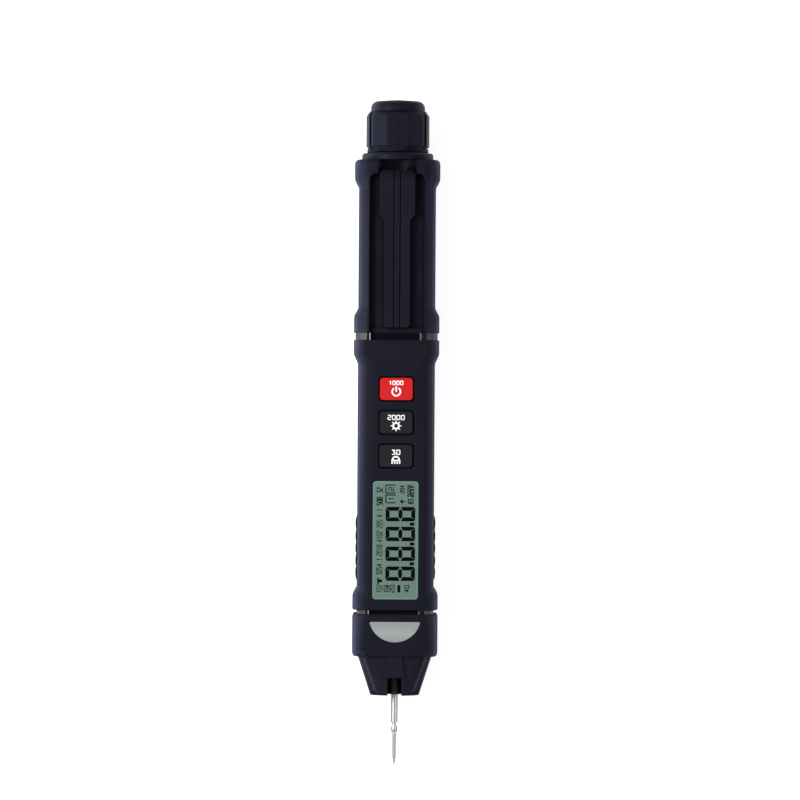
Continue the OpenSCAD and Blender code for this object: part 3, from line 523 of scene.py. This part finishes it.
class PEN_OT_mouldings(bpy.types.Operator):
    """Finish the shells, the battery section, the clip and the nose."""

    bl_idname = "pen.mouldings"
    bl_label = "Mouldings"

    def execute(self, context):
        props = context.scene.pen_mould
        flat = math.degrees(props.arris)
        plain = self.navy("navy_plastic", props)
        for node in ("rear_shell", "battery_cover"):
            finish(node, plain, smooth=flat)
        front = self.navy("front_plastic", props)
        for key in ("power_button", "hold_button", "lamp_button"):
            self.shade_seat(front, key)
        finish("front_shell", front, smooth=flat)
        clip = self.navy("clip_plastic", props, reach=0.5 * MM)
        self.shade_root(clip)
        finish("pocket_clip", clip, smooth=flat)
        cone = moulded("cone_plastic", props.cone, props.cone_light, props.rough, props.grain,
                       side=props.cone_painted_sheen, arris=props.edge * 2)
        finish("nose_cone", cone, smooth=40.0)
        upper = self.navy_and_neck("navy_and_neck", "upper_trim_ring", props)
        self.shade_root(upper)
        finish("battery_housing", upper, smooth=flat)
        lower = self.navy_and_neck("collar_and_neck", "lower_trim_ring", props)
        finish("nose_collar", lower, smooth=flat)
        return {"FINISHED"}

    def navy(self, name, props, reach=2.0 * MM):
        """The navy plastic, with painted shade in its creases within a reach and a painted sheen where it
        leans across the pen.
        """
        return moulded(name, props.navy, props.navy_light, props.rough, props.grain, side=props.navy_painted_sheen,
                       arris=props.edge, reach=reach)

    def navy_and_neck(self, name, ring, props):
        """Navy outside, glossy black on the neck under a trim ring, with one painted reflection on the neck.
        """
        inset, neck_rough, reflection = 0.05 * MM, 0.14, (0.22, 0.22, 0.23)
        shader = self.navy(name, props, reach=2.6 * MM)
        low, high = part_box(ring)
        x, y, _ = shader.axes()
        neck = y.between(low.y + inset, high.y - inset, soft=inset)
        navy = shader.face()
        # Painted reflection: a bright strip on the neck by the ring's right end
        glint = x.between(7.4 * MM, 7.9 * MM, soft=0.2 * MM)
        black = shader.mix(glint, GLOSS_BLACK, reflection)
        shader.set(
            Base_Color=shader.mix(neck, navy, black),
            Roughness=props.rough - neck * (props.rough - neck_rough),
        )
        return shader

    def shade_seat(self, shader, key, flange=0.6 * MM, corner=0.9 * MM, rim=0.36 * MM):
        """Painted shade round a key's opening: a dark rim round the outline, over its flange, that stands in
        for the gap's shadow.
        """
        low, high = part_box(key)
        x, y, _ = shader.axes()
        past = []
        for place, a, b in ((x, low.x, high.x), (y, low.y, high.y)):
            away = (place - (a + b) / 2).math("ABSOLUTE") - ((b - a) / 2 - flange - corner)
            past.append(away.math("MAXIMUM", 0.0))
        outline = (past[0] * past[0] + past[1] * past[1]).math("SQRT") - corner
        shader.set(Base_Color=shader.mix(outline.above(rim, soft=0.2 * MM), CREASE_SHADE, shader.face()))

    def shade_root(self, shader, depth=1.2 * MM, spread=0.4 * MM, shade=0.95):
        """Darken the hollow at the clip's root, where light hardly reaches."""
        low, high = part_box("pocket_clip")
        x, y, _ = shader.axes()
        half = (high.x - low.x) / 2 + spread
        root = y.above(high.y - depth, soft=4.5 * MM)
        hollow = root * x.between(-half, half, soft=1.2 * MM)
        shader.set(Base_Color=shader.mix(hollow * shade, shader.face(), CREASE_SHADE))


class PEN_OT_tail(bpy.types.Operator):
    """Finish the tail cap, its grip and the socket under it."""

    bl_idname = "pen.tail"
    bl_label = "Tail cap"

    def execute(self, context):
        props = context.scene.pen_tail
        # The cap and its grip take the navy's painted sheen where they lean across the pen, and painted
        # shade in creases
        side = context.scene.pen_mould.navy_painted_sheen
        cap = moulded("tail_plastic", props.cap, props.cap_light, rough=0.46, grain=0.1, side=side,
                      lean=0.85)
        for node in ("tail_cap", "tail_collar"):
            finish(node, cap, width=0.22 * MM, angle=18.0)
        grip = moulded("lobe_plastic", props.grip, props.grip_light, grain=0.1, side=side,
                       arris=0.6 * MM, reach=5.0 * MM, lean=0.85)
        self.shade_flutes(grip)
        finish("cap_grip", grip, smooth=40.0)
        foam = moulded("liner_foam", (0.12, 0.12, 0.125), (0.16, 0.16, 0.165), rough=0.8, grain=0.5)
        finish("cap_liner", foam)
        finish("com_contact", metal("brass", BRASS, rough=0.25))
        return {"FINISHED"}

    def shade_flutes(self, grip, lobe=0.45 * MM):
        """Painted shade: darken the grip further in than the crests of its lobes."""
        low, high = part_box("cap_grip")
        x, _, z = grip.axes()
        z = z - (low.z + high.z) / 2
        radius = (x * x + z * z).math("SQRT")
        crest = radius.above((high.x - low.x) / 2 - lobe, soft=0.3 * MM)
        grip.set(Base_Color=grip.mix(crest, CREASE_SHADE, grip.face()))


class PEN_OT_rings(bpy.types.Operator):
    """Finish the two trim rings: grey, with painted shade on the front beside their window and one painted
    reflection there.
    """

    bl_idname = "pen.rings"
    bl_label = "Trim rings"

    def execute(self, context):
        props = context.scene.pen_trim
        rough, rough_drop, reflection, soft = 0.36, 0.2, (0.55, 0.56, 0.58), 0.3 * MM
        shader = moulded("ring_grey", props.ring, props.ring_light, rough, grain=0.1)
        low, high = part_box("upper_trim_ring")
        x, _, z = shader.axes()
        grey = shader.face()
        front = z.above((low.z + high.z) / 2, soft=2.0 * MM)
        # Painted shade: on the front, the ring's ends beside the window are glossy black, as if deep in
        # shadow
        window = x.between(-9.5 * MM, 9.6 * MM, soft) * front
        # Painted reflection: a bright strip at the left end
        glint = x.between(-8.6 * MM, -8.0 * MM, soft)
        black = shader.mix(glint, GLOSS_BLACK, reflection)
        shader.set(
            Base_Color=shader.mix(window, grey, black),
            Roughness=rough - window * rough_drop,
        )
        for node in ("upper_trim_ring", "lower_trim_ring"):
            finish(node, shader, width=0.12 * MM)
        return {"FINISHED"}


class PEN_OT_grips(bpy.types.Operator):
    """Finish the ribbed grips at the sides."""

    bl_idname = "pen.grips"
    bl_label = "Side grips"

    def execute(self, context):
        props = context.scene.pen_trim
        shader = moulded("grip_rubber", props.rubber, props.rubber_light, rough=0.6, grain=0.3,
                         side=props.rubber_painted_sheen)
        # Painted shade: the valleys between the ribs are darkened, only the crests keep the rubber's tone
        x = shader.axes()[0]
        rib = 0.20 * MM
        crest = x.math("ABSOLUTE").above(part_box("side_grips")[1].x - rib, soft=0.30 * MM)
        shader.set(Base_Color=shader.mix(crest, CREASE_SHADE, shader.face()))
        finish("side_grips", shader, width=0.1 * MM)
        return {"FINISHED"}


class PEN_OT_keys(bpy.types.Operator):
    """Colour the three keys and print their icons."""

    bl_idname = "pen.keys"
    bl_label = "Keys"

    def execute(self, context):
        props = context.scene.pen_keys
        # Painted shade: the keys' walls that look aside are darkened like the gap round them
        red = moulded("key_red", props.red, props.red_light, grain=0.1, skirt=True)
        grey = moulded("key_grey", props.grey, props.grey_light, grain=0.15, skirt=True)
        for shader in (red, grey):
            shader.set(Specular_IOR_Level=0.15)
        ink = moulded("key_ink", (0.9, 0.9, 0.9), (0.95, 0.95, 0.95), rough=0.6, grain=0.02)
        # Painted light: the print glows a little, though it is no lamp
        ink.set(Emission_Color=(1.0, 1.0, 1.0), Emission_Strength=0.22)
        icons = {
            "power_button": (red, "power_key", self.power),
            "hold_button": (grey, "hold_key", self.sun),
            "lamp_button": (grey, "lamp_key", self.lamp),
        }
        for node, (shader, body, icon) in icons.items():
            finish(node, shader, width=props.edge, angle=40.0)
            low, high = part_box(node)
            x, y = (low.x + high.x) / 2 / MM, (low.y + high.y) / 2 / MM
            print_shapes(node + "_icon", icon(x, y), high.z + PRINT_LIFT, ink, body,
                         thick=0.03 * MM)
        return {"FINISHED"}

    def power(self, x, y):
        """A power sign under its figures, in millimetres."""
        y_sign, stem_rise, pen, half_gap = y - 0.85, 0.8, 0.5, 32.0
        sign = ring(x, y_sign, r=1.3, width=pen, start=90.0 + half_gap, sweep=360.0 - 2 * half_gap)
        sign.append(bar(x, y_sign + stem_rise, w=pen, l=1.75))
        return sign + figures("1000", x - 0.1, y + 1.95, tall=1.15, step=1.2, pen=0.31)

    def sun(self, x, y):
        """A sun of eight rays under its figures."""
        y_sun, rays = y - 1.05, 8
        tip, root, half = 1.9, 0.95, 0.36
        shapes = ring(x, y_sun, r=0.88, width=0.5)
        for i in range(rays):
            a = math.tau * i / rays
            c, s = math.cos(a), math.sin(a)
            shapes.append([
                (x + tip * c, y_sun + tip * s),
                (x + root * c - half * s, y_sun + root * s + half * c),
                (x + root * c + half * s, y_sun + root * s - half * c),
            ])
        return shapes + figures("2000", x, y + 1.6, tall=1.35, step=1.42, pen=0.31)

    def lamp(self, x, y):
        """A lamp over its four beams, under its figures."""
        y_dome, y_base, y_beams = y - 1.25, y - 1.4, y - 2.1
        shapes = ring(x, y_dome, r=1.05, width=0.52, sweep=180.0, steps=20)
        shapes.append(bar(x, y_base, w=2.9, l=0.42))
        shapes += [bar(x + dx, y_beams, w=0.46, l=0.8) for dx in (-1.2, -0.4, 0.4, 1.2)]
        return shapes + figures("30", x, y + 1.2, tall=1.35, step=1.5, pen=0.34)


class PEN_OT_display(bpy.types.Operator):
    """Draw the display: four digits, its marks and the window over them."""

    bl_idname = "pen.display"
    bl_label = "Display"

    def execute(self, context):
        props = context.scene.pen_display
        low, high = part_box("display_window")
        middle = ((low.x + high.x) / 2, (low.y + high.y) / 2)
        pane = moulded("window_green", props.pane, props.pane_light, rough=0.3, grain=0.0, coat=0.3)
        finish("display_window", pane, width=0.15 * MM, angle=40.0)
        self.rim(pane, middle, high, props.pane_rim_highlight)
        ink = moulded("lcd_ink", (0.0015, 0.0015, 0.0015), (0.002, 0.002, 0.002), rough=0.6, grain=0.0)
        ink.set(Specular_IOR_Level=0.05)
        x, y = (v / MM for v in middle)
        for name, shapes in (("lcd_digits", self.digits(x, y, props)), ("lcd_marks", self.marks(x, y))):
            print_shapes(name, shapes, high.z + PRINT_LIFT, ink, "case", thick=0.02 * MM)
        return {"FINISHED"}

    def rim(self, pane, middle, high, tone, inset=1.45 * MM):
        """A lighter line along the window's edge, a painted highlight. The inset takes in the flange under
        the case.
        """
        away = []
        for place, centre, end in zip(pane.axes(), middle, high):
            from_centre = (place - centre).math("ABSOLUTE")
            away.append(from_centre.above(end - centre - inset, soft=0.4 * MM))
        pane.set(Base_Color=pane.mix(away[0].math("MAXIMUM", away[1]), pane.face(), tone))

    def digits(self, x, y, props, count=4):
        """The row of digits with a point between each two, in millimetres."""
        row, first, point_row = 1.57, 8.34, 5.3
        tall, wide, pitch, pen = (
            v / MM for v in (props.digit_height, props.digit_width, props.digit_pitch, props.bar))
        shapes = []
        for i in range(count):
            y_digit = y + first - i * pitch
            shapes += self.digit(x + row, y_digit, tall, wide, pen)
            if i < count - 1:
                shapes.append(bar(x + point_row, y_digit - pitch / 2, w=1.4, l=0.95))
        return shapes

    def digit(self, x, y, tall, wide, w):
        """A figure eight of seven segments, its top towards -X."""
        gap, cut, tip_share = 0.12, 0.5, 0.45
        top_share, side_share, root_share = 0.6, 0.2, 0.8
        h, b, m = tall / 2, wide / 2, w / 2
        end, tip = b - w - gap, b - w * tip_share - gap
        shapes = []
        for dx in (-1, 1):
            outer, inner = x + dx * h, x + dx * (h - w)
            shapes.append([(outer, y - b + cut), (outer, y + b - cut), (inner, y + end), (inner, y - end)])
        shapes.append([(x - m, y - end), (x, y - tip), (x + m, y - end),
                       (x + m, y + end), (x, y + tip), (x - m, y + end)])
        for dy in (-1, 1):
            outer, inner = y + dy * b, y + dy * (b - w)
            for dx in (-1, 1):
                shapes.append([
                    (x + dx * gap, outer),
                    (x + dx * (h - cut), outer),
                    (x + dx * (h - gap * top_share), outer - dy * (cut + gap * side_share)),
                    (x + dx * (h - w - gap * root_share), inner),
                    (x + dx * (m + gap), inner),
                ])
        return shapes

    def marks(self, x, y):
        """Plain figures and signs in the places of the display's annunciators."""
        shapes = []
        for text, dx, dy, tall, step, pen in MARK_FIGURES:
            shapes += figures(text, x + dx, y + dy, tall, step, pen, along_pen=True)
        for dx, dy, wide, long in MARK_BARS:
            shapes.append(bar(x + dx, y + dy, wide, long))
        for corners, pen, closed in MARK_FRAMES:
            shapes += stroke([(x + dx, y + dy) for dx, dy in corners], pen, closed)
        shapes.append([(x + dx, y + dy) for dx, dy in MARK_ARROW])
        return shapes


class PEN_OT_lens(bpy.types.Operator):
    """Finish the half-moon indicator lens and the diodes behind it."""

    bl_idname = "pen.lens"
    bl_label = "Indicator lens"

    def execute(self, context):
        props = context.scene.pen_nose
        low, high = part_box("indicator_lens")
        shader = Shader("lens_grey")
        y = shader.axes()[1]
        middle_share = 0.48
        middle = low.y + (high.y - low.y) * middle_share
        # Painted highlight: a lighter band across the lens, a little below its middle
        band = y.between(middle - 1.3 * MM, middle + 0.9 * MM, soft=2.2 * MM)
        shader.set(Base_Color=shader.mix(band, props.lens, props.lens_highlight))
        shader.set(Roughness=0.35, Coat_Weight=0.4, Coat_Roughness=0.15)
        finish("indicator_lens", shader, width=0.18 * MM, angle=40.0)
        clear = moulded("led_clear", (0.8, 0.8, 0.72), (0.85, 0.85, 0.78), rough=0.15, grain=0.0, coat=0.5)
        for node in ("indicator_leds", "torch_led"):
            finish(node, clear)
        return {"FINISHED"}


class PEN_OT_probe(bpy.types.Operator):
    """Finish the probe, its socket and its insulating sleeve."""

    bl_idname = "pen.probe"
    bl_label = "Probe"

    def execute(self, context):
        props = context.scene.pen_nose
        steel = metal("probe_steel", props.steel, rough=0.4, streak=(300.0, 20.0, 300.0), flank_shade=props.flank_shade)
        finish("probe_tip", steel, width=0.06 * MM, angle=30.0)
        smooth = {"rough": 0.45, "grain": 0.05}
        black = moulded("black_plastic", (0.010, 0.010, 0.012), (0.013, 0.013, 0.015), **smooth)
        finish("socket_insulator", black)
        # Painted light and shade: the sleeve's tone is raised to look lit in its middle, and its sides are
        # darkened as the notch round it shades them
        sleeve = moulded("sleeve_plastic", (0.060, 0.060, 0.068), (0.070, 0.070, 0.078), **smooth)
        lit = sleeve.axes()[0].between(-1.0 * MM, 1.2 * MM, soft=0.5 * MM)
        sleeve.set(Base_Color=sleeve.mix(lit, CREASE_SHADE, sleeve.face()))
        finish("probe_sleeve", sleeve, width=0.1 * MM, angle=40.0)
        finish("probe_socket", metal("probe_brass", BRASS, rough=0.25))
        return {"FINISHED"}


class PEN_OT_inside(bpy.types.Operator):
    """Finish the board, its parts, the cells and the screws."""

    bl_idname = "pen.inside"
    bl_label = "Inner pieces"

    def execute(self, context):
        white = moulded("white_plastic", (0.75, 0.75, 0.70), (0.82, 0.82, 0.78))
        black = moulded("part_black", (0.008, 0.008, 0.009), (0.012, 0.012, 0.013), rough=0.45)
        steel = metal("steel", (0.55, 0.55, 0.57), rough=0.3)
        green = moulded("board_green", (0.02, 0.11, 0.035), (0.03, 0.14, 0.05), rough=0.3, grain=0.1)
        tan = moulded("part_tan", (0.22, 0.13, 0.05), (0.28, 0.17, 0.07), rough=0.4)
        glass = moulded("lcd_green", (0.15, 0.26, 0.2), (0.18, 0.3, 0.24), rough=0.2, grain=0.0)
        looks = {
            white: ("lcd_holder", "backlight_plate"),
            black: ("zebra_strip", "key_switches", "measuring_chip", "buzzer"),
            steel: ("case_screws", "cover_screw", "battery_springs", "contact_plates"),
            green: ("main_board",),
            tan: ("board_parts",),
            self.cell(): ("battery_left", "battery_right"),
            glass: ("lcd_glass",),
        }
        for shader, nodes in looks.items():
            for node in nodes:
                finish(node, shader)
        return {"FINISHED"}

    def cell(self, cap=1.8 * MM, band_share=0.45):
        """A cell's green skin with a dark band at one end, and bare steel at both ends."""
        shader = moulded("cell_skin", (0.02, 0.2, 0.08), (0.03, 0.25, 0.1), rough=0.3, grain=0.0)
        low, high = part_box("battery_left")
        middle, half = (low.y + high.y) / 2, (high.y - low.y) / 2
        y, soft = shader.axes()[1] - middle, 0.1 * MM
        ends = y.math("ABSOLUTE").above(half - cap, soft)
        skin = shader.mix(y.above(half * band_share, soft), shader.face(), (0.012, 0.012, 0.014))
        shader.set(Base_Color=shader.mix(ends, skin, (0.6, 0.6, 0.62)), Metallic=ends * 0.9)
        return shader


class PEN_OT_stage(bpy.types.Operator):
    """Lay out the floor, the lamps and the camera."""

    bl_idname = "pen.stage"
    bl_label = "Stage"

    def execute(self, context):
        props = context.scene.pen_stage
        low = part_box("rear_shell")[0]
        middle = Vector((1.2 * MM, 10.3 * MM, low.z + 11.5 * MM))
        self.floor(props.glow)
        self.lamp("key_lamp", (-0.42, 0.10, 0.42), middle, size=0.22, power=props.key)
        self.lamp("fill_lamp", (0.45, -0.05, 0.35), middle, size=0.25, power=props.fill, color=COOL_WHITE)
        self.world(context.scene, props.room)
        self.camera(context.scene, middle, props)
        context.scene.view_settings.view_transform = "Standard"
        return {"FINISHED"}

    def floor(self, glow, size=3.0, drop=0.05 * MM):
        """A floor a hair under the pen. Its white glow shows only to the camera and in gloss and glass."""
        shader = Shader("floor_white")
        rays = ("Is Camera Ray", "Is Glossy Ray", "Is Transmission Ray")
        path = shader.node("ShaderNodeLightPath").socket.node
        camera, glossy, through = (Sock(shader, path.outputs[ray]) for ray in rays)
        seen = (camera + glossy + through).math("MINIMUM", 1.0)
        shader.set(Base_Color=(0.72, 0.72, 0.72), Roughness=0.9, Specular_IOR_Level=0.0)
        shader.set(Emission_Color=shader.mix(seen, (0.0, 0.0, 0.0), (1.0, 1.0, 1.0)), Emission_Strength=glow)
        mesh = bpy.data.meshes.new("floor")
        corners = [(-size, -size, 0), (size, -size, 0), (size, size, 0), (-size, size, 0)]
        mesh.from_pydata(corners, [], [(0, 1, 2, 3)])
        mesh.materials.append(shader.material)
        obj = bpy.data.objects.new("floor", mesh)
        bpy.context.collection.objects.link(obj)
        obj.location.z = -drop

    def lamp(self, name, place, aim, size, power, color=(1.0, 1.0, 1.0)):
        """A square lamp that looks at a point."""
        data = bpy.data.lights.new(name, "AREA")
        data.size = size
        data.energy = power
        data.color = color
        obj = bpy.data.objects.new(name, data)
        bpy.context.collection.objects.link(obj)
        obj.location = place
        obj.rotation_euler = (Vector(place) - aim).to_track_quat("Z", "Y").to_euler()

    def world(self, scene, strength):
        """An even, dim, slightly cool room."""
        world = bpy.data.worlds.new("room")
        world.use_nodes = True
        back = world.node_tree.nodes["Background"]
        back.inputs["Color"].default_value = (*COOL_WHITE, 1.0)
        back.inputs["Strength"].default_value = strength
        scene.world = world

    def camera(self, scene, middle, props):
        """A camera straight above a point, which sees a given span."""
        data = bpy.data.cameras.new("camera")
        data.sensor_width = 36.0
        data.lens = data.sensor_width * props.height / props.span
        camera = bpy.data.objects.new("camera", data)
        bpy.context.collection.objects.link(camera)
        camera.location = middle + Vector((0, 0, props.height))
        camera.rotation_euler = (0.0, 0.0, props.roll)
        scene.camera = camera


class PEN_PT_panel(bpy.types.Panel):
    """Settings and build buttons."""

    bl_label = "Pen multimeter"
    bl_idname = "PEN_PT_panel"
    bl_space_type = "VIEW_3D"
    bl_region_type = "UI"
    bl_category = "Pen meter"

    def draw(self, context):
        layout = self.layout
        for name in GROUPS:
            group = getattr(context.scene, name)
            box = layout.box()
            for key in type(group).__annotations__:
                box.prop(group, key)
        for operator in OPERATORS:
            layout.operator(operator.bl_idname)


GROUPS = {
    "pen_mould": MouldProps,
    "pen_tail": TailProps,
    "pen_trim": TrimProps,
    "pen_keys": KeyProps,
    "pen_display": DisplayProps,
    "pen_nose": NoseProps,
    "pen_stage": StageProps,
}
OPERATORS = (
    PEN_OT_mouldings,
    PEN_OT_tail,
    PEN_OT_rings,
    PEN_OT_grips,
    PEN_OT_keys,
    PEN_OT_display,
    PEN_OT_lens,
    PEN_OT_probe,
    PEN_OT_inside,
    PEN_OT_stage,
)


def register():
    for cls in (*GROUPS.values(), *OPERATORS, PEN_PT_panel):
        bpy.utils.register_class(cls)
    for name, group in GROUPS.items():
        setattr(bpy.types.Scene, name, bpy.props.PointerProperty(type=group))


def unregister():
    for name in GROUPS:
        delattr(bpy.types.Scene, name)
    for cls in (PEN_PT_panel, *reversed(OPERATORS), *GROUPS.values()):
        bpy.utils.unregister_class(cls)


def main():
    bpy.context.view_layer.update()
    register()
    for operator in OPERATORS:
        getattr(bpy.ops.pen, operator.bl_idname.split(".")[1])()


if __name__ == "__main__":
    main()
